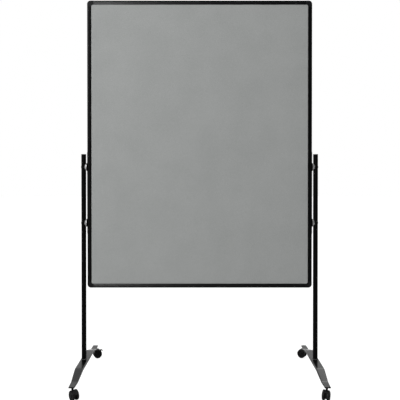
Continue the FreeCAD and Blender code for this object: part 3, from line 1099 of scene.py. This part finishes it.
    def rails(self) -> None:
        """Four straight rails between the corner pieces."""
        for name, run, sign in (
            ("top", Run.LEVEL, 1),
            ("bottom", Run.LEVEL, -1),
            ("right", Run.UPRIGHT, 1),
            ("left", Run.UPRIGHT, -1),
        ):
            reach, out, finish = self.half_x - self.corner_leg, self.half_z, LEVEL_RAIL
            if run is Run.UPRIGHT:
                reach, out, finish = self.half_z - self.corner_leg, self.half_x, UPRIGHT_RAIL
            rings = []
            for along in (-reach, reach):
                ring = [(along, deep, sign * (out - inward)) for deep, inward in self.rail_section()]
                rings.append(ring if run is Run.LEVEL else [spot[::-1] for spot in ring])
            piece = move(skin(f"{name}_extrusion", rings), (0, self.plane, self.middle_z))
            soften(piece, self.rail_edge)
            dress(piece, finish, "stand", [f"rail_{name}"])

    def corner_ring(self, outer: Flat, floor: Flat, inner: Flat) -> List[Point]:
        """Section through a corner piece.

        Args:
            outer: place of the outer side.
            floor: place of the slot's floor.
            inner: place of the opening's edge.

        Returns:
            The section's points as (X, depth, Z).
        """
        first, last = Vector(outer), Vector(inner)
        across = (last - first).normalized()
        edge = self.corner_edge
        front = []
        for spot, sign, start in ((first, 1, 0), (last, -1, 90)):
            for step in range(5):
                turn = math.radians(start + sign * 22.5 * step)
                inward = across * (sign * edge) * (1 - math.cos(turn))
                front.append((spot + inward, self.depth / 2 - edge + edge * math.sin(turn)))
        front += [(last, self.slot_half), (Vector(floor), self.slot_half)]
        half = [(spot.x, deep, spot.y) for spot, deep in front]
        return half + [(x, -deep, z) for x, deep, z in reversed(half)]

    def corners(self) -> None:
        """Four moulded corners with a round outside, a round opening and a slot."""
        bend, opening, leg = self.corner_radius, self.opening_radius, self.corner_leg
        hub, eye = (-bend, -bend), (-self.face - opening, -self.face - opening)
        curves = ((hub, bend), (hub, bend - self.slot_floor), (eye, opening))
        arcs = [arc(middle, radius, 0, 90, self.corner_steps) for middle, radius in curves]
        ends = (0, -self.slot_floor, -self.face)
        rings = [self.corner_ring(*[(inward, -leg) for inward in ends])]
        rings += [self.corner_ring(*spots) for spots in zip(*arcs)]
        rings.append(self.corner_ring(*[(-leg, inward) for inward in ends]))
        places = (("top_right", 1, 1), ("bottom_right", 1, -1), ("bottom_left", -1, -1), ("top_left", -1, 1))
        rubbed = self.depth / 2 - self.rub_depth
        for quarter, (name, x, z) in enumerate(places):
            place = (x * self.half_x, self.plane, self.middle_z + z * self.half_z)
            piece = move(skin(f"corner_{name}", rings), place, 90 * quarter, "Y")
            worn(piece, self.corner_rub, lambda co: abs(co.y - self.plane) > rubbed)
            soften(piece, self.corner_soft, 2, 50)
            dress(piece, CORNER_PLASTIC, "stand", ["corner_pieces"])

    def screws(self) -> None:
        """Screws through the rails' rear into the corners' tongues."""
        centre, reach = self.face / 2, self.corner_leg + self.screw_inset
        deep = self.plane + self.depth / 2 - self.screw_sink
        head = ScrewHead(radius=0.0031, height=0.0014, slot=0.0034)
        for level, x_sign in (("left", -1), ("right", 1)):
            for upright, z_sign in (("bottom", -1), ("top", 1)):
                for kind, in_x, in_z in (("level", reach, centre), ("upright", centre, reach)):
                    up = self.middle_z + z_sign * (self.half_z - in_z)
                    place = (x_sign * (self.half_x - in_x), deep, up)
                    screw = move(head.build(f"corner_screw_{upright}_{level}_{kind}"), place, -90, "X")
                    dress(screw, BAR_PAINT, "stand")


@dataclass
class ScrewHead:
    """Low round head with a cross recess, seated on Z = 0 and facing +Z."""

    radius: float = 0.004
    height: float = 0.002
    slot: float = 0.004
    slot_width: float = 0.0009
    slot_depth: float = 0.0010
    sunk: float = 0.0004
    sunk_share: float = 0.96
    rim_share: float = 0.985
    rim_height: float = 0.35
    dome_steps: int = 8

    def build(self, name: str) -> Piece:
        """Turn the dome and cut its cross.

        Args:
            name: the piece's name.

        Returns:
            The head, facing +Z over the origin.
        """
        low, rim = self.height * self.rim_height, self.radius * self.rim_share
        profile = [(-self.sunk, 0), (-self.sunk, self.radius * self.sunk_share), (0, self.radius), (low, rim)]
        for step in range(1, self.dome_steps + 1):
            turn = math.pi / 2 * step / self.dome_steps
            profile.append((low + (self.height - low) * math.sin(turn), rim * math.cos(turn)))
        head = turned(name, profile, steps=40)
        half, thin = self.slot / 2, self.slot_width / 2
        bottom, over = self.height - self.slot_depth, self.height + self.slot_depth
        for wide, narrow in ((half, thin), (thin, half)):
            recess = plate("recess", oblong(-wide, wide, -narrow, narrow), "Z", bottom, over)
            fitted(head, recess, "DIFFERENCE")
        return head


# Side fixings and posts

@dataclass
class Supports:
    """Hanger bar, pads, saddles and round post at one side of the board."""

    side: Side
    board_half: float = 0.585
    bar_length: float = 0.432
    bar_width: float = 0.016
    bar_thick: float = 0.002
    bar_edge: float = 0.0004
    bar_screws: Steps = (-0.203, -0.118, 0.104, 0.203)
    pad_radius: float = 0.022
    pad_thick: float = 0.0015
    pad_edge: float = 0.0005
    saddle_radius: float = 0.0205
    saddle_rise: float = 0.016
    saddle_gap: float = 0.0001
    saddle_edge: float = 0.0003
    groove_half: float = 0.03
    post_radius: float = 0.0125
    post_wall: float = 0.0015
    post_edge: float = 0.0003
    cap_thick: float = 0.004
    cap_edge: float = 0.0014
    cap_depth: float = 0.014
    cap_gap: float = 0.0001
    low_clamp: float = 0.808
    high_clamp: float = 1.100
    plug_radius: float = 0.0065
    plug_height: float = 0.0004
    plug_depth: float = 0.002
    plug_edge: float = 0.0008
    weld: float = 0.0028
    weld_sink: float = 0.0002
    weld_lap: float = 0.0003
    weld_steps: int = 144
    weld_shape: Tuple[Flat, ...] = ((1, 0), (0.72, 0.42), (0.36, 0.76), (0, 1))
    ripple: float = 0.10
    ripples: int = 36
    foot_wall: float = 0.002
    washer_radius: float = 0.008
    washer_thick: float = 0.0015
    washer_edge: float = 0.0003
    bolt_flats: float = 0.013
    bolt_high: float = 0.005
    bolt_edge: float = 0.0005

    def __post_init__(self) -> None:
        """Work out the shared places."""
        self.name = self.side.name.lower()
        self.plane = middle_of("panel_core").y
        low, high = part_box("post_right")
        self.post_x = (low.x + high.x) / 2
        self.post_bottom, self.post_top = low.z, high.z
        self.post_place = (self.side.value * self.post_x, self.plane, 0)
        self.face = self.board_half + self.bar_thick

    def build(self) -> None:
        """Build the bar, the post and both clamps."""
        self.hanger_bar()
        self.post()
        self.clamp(self.low_clamp, "low")
        self.clamp(self.high_clamp, "high")

    def outward(self, piece: Piece, height: float) -> Piece:
        """Turn a piece that was built for the right side to its own side, and lift it."""
        return move(piece, (0, self.plane, height), 0 if self.side is Side.RIGHT else 180)

    def hanger_bar(self) -> None:
        """Flat steel bar with round ends and four screws."""
        middle = middle_of("hanger_bar_right").z
        half, end = self.bar_width / 2, (self.bar_length - self.bar_width) / 2
        outline = arc((0, end), half, 0, 180, 16) + arc((0, -end), half, 180, 360, 16)
        bar = plate(f"side_bar_{self.name}", outline, "X", self.board_half, self.face)
        soften(self.outward(bar, middle), self.bar_edge)
        dress(bar, BAR_PAINT, "stand", [f"hanger_bar_{self.name}"])
        head = ScrewHead(radius=0.0040, height=0.0021)
        for number, place in enumerate(self.bar_screws):
            screw = move(head.build(f"bar_screw_{self.name}_{number}"), (self.face, 0, 0), 90, "Y")
            dress(self.outward(screw, middle + place), DULL_PLATE, "stand")

    def clamp(self, height: float, level: str) -> None:
        """Pad and domed saddle against the post, and the plug over the bolt's far end.

        Args:
            height: height of its middle.
            level: name of its height.
        """
        name = f"{level}_{self.name}"
        base = self.face + self.pad_thick
        pad = rod(f"clamp_pad_{name}", self.face, base, self.pad_radius, self.pad_edge, "X")
        dress(self.outward(pad, height), PAD_RUBBER, "stand", ["saddle_pads"])
        ball = (self.saddle_radius ** 2 + self.saddle_rise ** 2) / (2 * self.saddle_rise)
        centre = base + self.saddle_rise - ball
        opening = math.degrees(math.asin(self.saddle_radius / ball))
        dome = arc((centre, 0), ball, 0, opening, 28) + [(base, 0)]
        saddle = turned(f"clamp_saddle_{name}", dome, "X", steps=128)
        hollow = self.post_radius + self.saddle_gap
        groove = rod("groove", -self.groove_half, self.groove_half, hollow, steps=128)
        fitted(saddle, move(groove, (self.post_x, 0, 0)), "DIFFERENCE")
        soften(self.outward(saddle, height), self.saddle_edge, 2, 40)
        dress(saddle, BRIGHT_PLATE, "stand", ["saddles"])
        outside = self.post_x + self.post_radius
        low, high = outside - self.plug_depth, outside + self.plug_height
        plug = rod(f"post_plug_{name}", low, high, self.plug_radius, self.plug_edge, "X")
        dress(self.outward(plug, height), CAP_PLASTIC, "stand")

    def post(self) -> None:
        """Round tube with its cap, the weld at its foot and the bolt below it."""
        radius, bore, end = self.post_radius, self.post_radius - self.post_wall, self.post_top
        tube = [(self.post_bottom, bore), (self.post_bottom, radius), (end, radius), (end, bore)]
        post = move(turned(f"post_tube_{self.name}", tube, looped=True, steps=96), self.post_place)
        soften(post, self.post_edge, 2)
        dress(post, POST_PAINT, "stand", [f"post_{self.name}"])
        top, edge, neck = end + self.cap_thick, self.cap_edge, bore - self.cap_gap
        profile = [(end - self.cap_depth, 0), (end - self.cap_depth, neck), (end, neck), (end, radius)]
        profile += [*arc((top - edge, radius - edge), edge, 90, 0, 6), (top, 0)]
        cap = move(turned(f"post_end_cap_{self.name}", profile, steps=96), self.post_place)
        dress(cap, CAP_PLASTIC, "stand", ["post_caps"])
        dress(self.weld_bead(), WELD_PAINT, "stand")
        self.foot_bolt()

    def weld_bead(self) -> Piece:
        """Rippled weld round the bottom of the post.

        Returns:
            The bead.
        """
        inner, low = self.post_radius - self.weld_lap, self.post_bottom - self.weld_sink
        rings = []
        for step in range(self.weld_steps):
            turn = math.tau * step / self.weld_steps
            leg = self.weld * (1 + self.ripple * math.cos(self.ripples * turn))
            section = [(self.post_radius + leg * out, leg * up) for out, up in self.weld_shape]
            section = [(inner, 0), *section, (inner, leg)]
            rings.append([(out * math.cos(turn), out * math.sin(turn), low + up) for out, up in section])
        return move(skin(f"post_weld_{self.name}", rings, looped=True), self.post_place)

    def foot_bolt(self) -> None:
        """Bolt head and washer under the foot, inside its hollow."""
        under = self.post_bottom - self.foot_wall
        low = under - self.washer_thick
        washer = rod(f"foot_washer_{self.name}", low, under, self.washer_radius, self.washer_edge)
        dress(move(washer, self.post_place), DULL_PLATE, "stand")
        bolt = plate(f"foot_bolt_{self.name}", hexagon(self.bolt_flats), "Z", low - self.bolt_high, low)
        soften(move(bolt, self.post_place), self.bolt_edge)
        dress(bolt, DULL_PLATE, "stand")


# Feet

@dataclass
class Foot:
    """Low arched pressing, open below, tapered to both ends."""

    side: Side
    top: float = 0.094
    end_top: float = 0.066
    depth: float = 0.013
    end_depth: float = 0.006
    flat: float = 0.121
    bend: float = 0.211
    taper: float = 0.135
    reach: float = 0.268
    stops: Steps = (0, 0.03, 0.06, 0.09, 0.16, 0.185, 0.235, 0.255)
    width: float = 0.040
    end_width: float = 0.028
    wall: float = 0.002
    edge: float = 0.0026
    ease: float = 0.006
    soft: float = 0.0007
    rub: float = 0.45
    rub_reach: float = 0.004

    def eased(self, along: float, knots: Sequence[Flat]) -> float:
        """Read a broken line whose bends are eased.

        Args:
            along: place along the line.
            knots: the line's points.

        Returns:
            The line's value there.
        """
        places, values = zip(*knots)
        slopes = np.diff(values) / np.diff(places)
        result = float(np.interp(along, places, values))
        for place, before, after in zip(places[1:], slopes, slopes[1:]):
            away = abs(along - place)
            if away < self.ease:
                result += float(after - before) * (self.ease - away) ** 2 / (4 * self.ease)
        return result

    def stations(self) -> List[float]:
        """Places along the foot where a section is drawn.

        Returns:
            The places from one end to the other.
        """
        half = [*self.stops, self.reach]
        for bend in (self.flat, self.taper, self.bend):
            half += [bend + self.ease * step / 3 for step in range(-3, 4)]
        half = sorted(set(round(place, 6) for place in half))
        return [-place for place in reversed(half[1:])] + half

    def section(self, along: float) -> List[Point]:
        """Draw the outside at one place along the foot, open below.

        Args:
            along: the place.

        Returns:
            Its points from one lower edge over the top to the other.
        """
        flat, bend, reach, edge = self.flat, self.bend, self.reach, self.edge
        low, end_low = self.top - self.depth, self.end_top - self.end_depth
        tops = [(0, self.top), (flat, self.top), (bend, self.end_top), (reach, self.end_top)]
        lows = [(0, low), (flat, low), (bend, end_low), (reach, end_low)]
        halves = [(0, self.width / 2), (self.taper, self.width / 2), (reach, self.end_width / 2)]
        top, bottom, half = [self.eased(abs(along), knots) for knots in (tops, lows, halves)]
        left = arc((edge - half, top - edge), edge, 180, 90, 5)
        right = arc((half - edge, top - edge), edge, 90, 0, 5)
        return [(x, along, z) for x, z in [(-half, bottom), *left, *right, (half, bottom)]]

    def build(self) -> None:
        """Skin the outside, give it its wall and dress it."""
        name = self.side.name.lower()
        foot = skin(f"arched_foot_{name}", [self.section(along) for along in self.stations()], closed=False)
        with reworked(foot.data) as work:
            highest = max(work.faces, key=lambda face: face.calc_center_median().z)
            if highest.normal.z < 0:
                bmesh.ops.reverse_faces(work, faces=work.faces)
        shell = foot.modifiers.new("wall", "SOLIDIFY")
        shell.thickness = self.wall
        shell.offset = -1
        shell.use_even_offset = True
        smooth(settle(foot).data)
        worn(foot, self.rub, lambda co: abs(co.y) > self.reach - self.rub_reach)
        middle = middle_of(f"foot_{name}")
        soften(move(foot, (middle.x, middle.y, 0)), self.soft, 3, 40)
        dress(foot, FOOT_PAINT, "stand", [f"foot_{name}"])


# Castors

# Wheel's face from tread to boss: how deep it lies in the wheel, and its radius.
WHEEL_FACE = (
    (0, 0.0195), (0.0002, 0.0191), (0.0010, 0.0186), (0.0012, 0.0180), (0.0017, 0.0140),
    (0.0019, 0.0100), (0.0017, 0.0092), (0.0010, 0.0086), (0.0002, 0.0082), (0, 0.0077),
    (0, 0.0030), (0.0003, 0.0026), (0.0006, 0),
)


@dataclass
class Castor:
    """Twin-wheel castor that trails towards +X from a stem over the origin."""

    name: str
    yaw: float
    side: Side
    has_brake: bool
    trail: float = 0.015
    radius: float = 0.023
    wheel_width: float = 0.0102
    wheel_gap: float = 0.0008
    bore_wall: float = 0.0022
    web_half: float = 0.0055
    axle_radius: float = 0.003
    axle_gap: float = 0.00006
    axle_short: float = 0.0004
    hub_radius: float = 0.0160
    hood_gap: float = 0.0007
    hood_wall: float = 0.0013
    hood_inset: float = 0.002
    collar_radius: float = 0.0052
    collar_top: float = 0.048
    collar_bottom: float = 0.028
    stem_radius: float = 0.004
    stem_flat: float = 0.010
    stem_top: float = 0.064
    stem_bottom: float = 0.031
    stem_lap: float = 0.001
    turn_gap: float = 0.0003
    nut_edge: float = 0.0006
    hood_edge: float = 0.0004
    pin_edge: float = 0.0003
    cross_edge: float = 0.0002
    hood_rub: float = 0.3
    hood_rub_depth: float = 0.001
    tread_rub: float = 0.8
    tread_rub_depth: float = 0.0004
    pedal_rub: float = 0.6
    pedal_rub_height: float = 0.038
    over: float = 0.01
    hood_front: float = 50
    hood_back: float = 160
    hub_start: float = 195
    hub_end: float = 350
    ear_start: float = -60
    ear_end: float = 20
    pivot_reach: float = 0.0173
    pivot_rise: float = 0.010
    pivot_radius: float = 0.0015
    ear_radius: float = 0.0035
    ear_slot: float = 0.005
    tread_near: float = 0.0014
    tread_far: float = 0.0024
    seam: Flat = (0.0004, 0.0003)
    pedal_width: float = 0.022
    pedal_thick: float = 0.0025
    pedal_near: Flat = (0.019, 0.022)
    pedal_far: Flat = (0.0315, 0.0145)
    pedal_edge: float = 0.0009
    tongue_half: float = 0.0022
    rib_radius: float = 0.0005
    rib_inset: float = 0.0025
    rib_sink: float = 0.0001
    rib_places: Steps = (0.25, 0.42, 0.59, 0.76)

    def __post_init__(self) -> None:
        """Work out the shared places."""
        self.far = self.web_half + self.wheel_gap + self.wheel_width
        self.pivot = (self.trail + self.pivot_reach, self.radius + self.pivot_rise)
        spot, turn = middle_of(f"castor_axle_{self.name}"), math.radians(self.yaw)
        stem = (spot.x - self.trail * math.cos(turn), spot.y - self.trail * math.sin(turn), 0)
        self.place = Matrix.Translation(stem) @ Matrix.Rotation(turn, 4, "Z")

    def build(self) -> None:
        """Build the stem, hood, axle, wheels and pedal in their places."""
        body = f"castor_{self.name}"
        self.put(self.stem(), STEM_PAINT, "stand", "castor_stems")
        self.put(self.hood(), CASTOR_PLASTIC, body, f"castor_hood_{self.name}")
        self.put(self.axle(), DULL_PLATE, body, f"castor_axle_{self.name}")
        for which, sign in (("inner", -self.side.value), ("outer", self.side.value)):
            wheel, end = self.wheel(which, sign), f"{self.name}_{which}"
            self.put(wheel, WHEEL_PLASTIC, f"wheel_{end}", f"castor_wheel_{end}")
        if self.has_brake:
            node = f"brake_pedal_{self.name}"
            self.put(self.pedal(), CASTOR_PLASTIC, f"brake_{self.name}", node)

    def put(self, piece: Piece, finish: Finish, body: str, node: str) -> None:
        """Turn a piece, built about the stem, to the castor's heading, and dress it."""
        piece.matrix_world = self.place
        dress(piece, finish, body, [node])

    def stem(self) -> Piece:
        """Hexagon over a round pin.

        Returns:
            The stem.
        """
        seat = self.collar_top + self.turn_gap
        nut = plate("nut", hexagon(self.stem_flat), "Z", seat, self.stem_top)
        settle(soften(nut, self.nut_edge))
        pin = rod("pin", self.stem_bottom, seat + self.stem_lap, self.stem_radius, self.hood_edge, steps=40)
        return gathered(f"castor_stem_{self.name}", [nut, pin])

    def rim(self, radius: float, start: float, end: float, steps: int = 24) -> List[Flat]:
        """Arc about the axle, between two angles in degrees."""
        return arc((self.trail, self.radius), radius, start, end, steps)

    def hood(self) -> Piece:
        """Web with the stem's collar and the axle's hub, under a hood over both wheels.

        Returns:
            The hood, with the pedal's cross pin in it where there is one.
        """
        inner = self.radius + self.hood_gap
        outer = inner + self.hood_wall
        reach, stop = (inner + outer) / 2, self.trail + self.web_half
        back = math.degrees(math.atan2(math.sqrt(reach ** 2 - stop ** 2), -stop))
        outline = [(-self.web_half, self.collar_bottom)]
        outline += self.rim(self.hub_radius, self.hub_start, self.hub_end, 20)
        if self.has_brake:
            outline += arc(self.pivot, self.ear_radius, self.ear_start, self.ear_end, 8)
        outline += self.rim(reach, self.hood_front, back)
        web = plate(f"castor_housing_{self.name}", outline, "Y", -self.web_half, self.web_half)
        half = self.far - self.hood_inset
        shell = self.rim(outer, self.hood_front, self.hood_back, 32)
        shell += self.rim(inner, self.hood_back, self.hood_front, 32)
        fitted(web, plate("cover", shell, "Y", -half, half), "UNION")
        low, top = self.collar_bottom, self.collar_top
        fitted(web, rod("collar", low, top, self.collar_radius, self.hood_edge, steps=48), "UNION")
        low, top = self.stem_bottom - self.turn_gap, self.collar_top + self.over
        fitted(web, rod("bore", low, top, self.stem_radius + self.axle_gap, steps=40), "DIFFERENCE")
        if self.has_brake:
            x, z = self.pivot
            slot = self.ear_slot
            gap = oblong(x - slot, x + slot, z - slot, self.radius + outer)
            fitted(web, plate("slot", gap, "Y", -slot / 2, slot / 2), "DIFFERENCE")
            end = self.web_half - self.pin_edge
            pin = rod("pin", -end, end, self.pivot_radius, self.cross_edge, "Y", 32)
            web = gathered(web.name, [web, move(pin, (x, 0, z))])
        worn(web, self.hood_rub, lambda co: abs(co.y) > half - self.hood_rub_depth)
        return soften(web, self.hood_edge, 2, 35)

    def axle(self) -> Piece:
        """Plain pin through the web.

        Returns:
            The pin.
        """
        half = self.far - self.bore_wall - self.axle_short
        pin = rod(f"castor_pin_{self.name}", -half, half, self.axle_radius, self.pin_edge, "Y", 40)
        return move(pin, (self.trail, 0, self.radius))

    def wheel(self, which: str, sign: int) -> Piece:
        """Wheel with a rounded tread, a dished face and a boss.

        Args:
            which: inner or outer.
            sign: which way its face looks along Y.

        Returns:
            The wheel.
        """
        near, far, radius = self.web_half + self.wheel_gap, self.far, self.radius
        bore, shut, groove = self.axle_radius + self.axle_gap, far - self.bore_wall, (near + far) / 2
        width, deep = self.seam
        profile = [(shut, 0), (shut, bore), (near, bore)]
        profile += arc((near + self.tread_near, radius - self.tread_near), self.tread_near, 180, 90, 6)
        profile += [(groove - width, radius), (groove, radius - deep), (groove + width, radius)]
        profile += arc((far - self.tread_far, radius - self.tread_far), self.tread_far, 90, 0, 8)
        profile += [(far - sunk, out) for sunk, out in WHEEL_FACE]
        profile = [(sign * along, out) for along, out in profile]
        wheel = turned(f"castor_roller_{self.name}_{which}", profile, "Y", steps=96)
        worn(wheel, self.tread_rub, lambda co: math.hypot(co.x, co.z) > radius - self.tread_rub_depth)
        return move(wheel, (self.trail, 0, radius))

    def pedal(self) -> Piece:
        """Ribbed tread on a tongue that turns on the cross pin.

        Returns:
            The pedal.
        """
        ends = (self.pedal_near, self.pedal_far)
        near, far = [Vector((self.trail + x, self.radius + z)) for x, z in ends]
        down, half = Vector((0, -self.pedal_thick)), self.pedal_width / 2
        outline = [tuple(spot) for spot in (near + down, far + down, far, near)]
        tread = plate("tread", outline, "Y", -half, half)
        settle(soften(tread, self.pedal_edge, 4))
        slope = math.degrees(math.atan2(far.y - near.y, far.x - near.x))
        wide, ribs = half - self.rib_inset, []
        for share in self.rib_places:
            spot = near.lerp(far, share)
            rib = plate("rib", arc((0, 0), self.rib_radius, 0, 180, 6), "Y", -wide, wide)
            ribs.append(move(rib, (spot.x, 0, spot.y - self.rib_sink), -slope, "Y"))
        outline = arc(self.pivot, self.ear_radius, 150, 360, 14)
        outline += [tuple((near + far) / 2 + down / 2), tuple(near + down / 2)]
        tongue = plate("tongue", outline, "Y", -self.tongue_half, self.tongue_half)
        hole = rod("hole", -self.over, self.over, self.pivot_radius + self.axle_gap, axis="Y", steps=32)
        fitted(tongue, move(hole, (self.pivot[0], 0, self.pivot[1])), "DIFFERENCE")
        pedal = gathered(f"brake_tread_{self.name}", [tread, tongue, *ribs])
        return worn(pedal, self.pedal_rub, lambda co: co.z > self.pedal_rub_height)


def main() -> None:
    """Build the studio and every sub-assembly in order."""
    logging.basicConfig(level=logging.INFO, format="%(message)s")
    studio = Studio()
    studio.build()
    Board().build()
    studio.rake([bpy.data.objects[f"{end}_extrusion"] for end in ("top", "bottom")])
    castors = [
        Castor("front_left", -48, Side.LEFT, True),
        Castor("rear_left", 28, Side.LEFT, True),
        Castor("front_right", 243, Side.RIGHT, False),
        Castor("rear_right", 141, Side.RIGHT, False),
    ]
    for part in [*map(Supports, Side), *map(Foot, Side), *castors]:
        part.build()


if __name__ == "__main__":
    main()
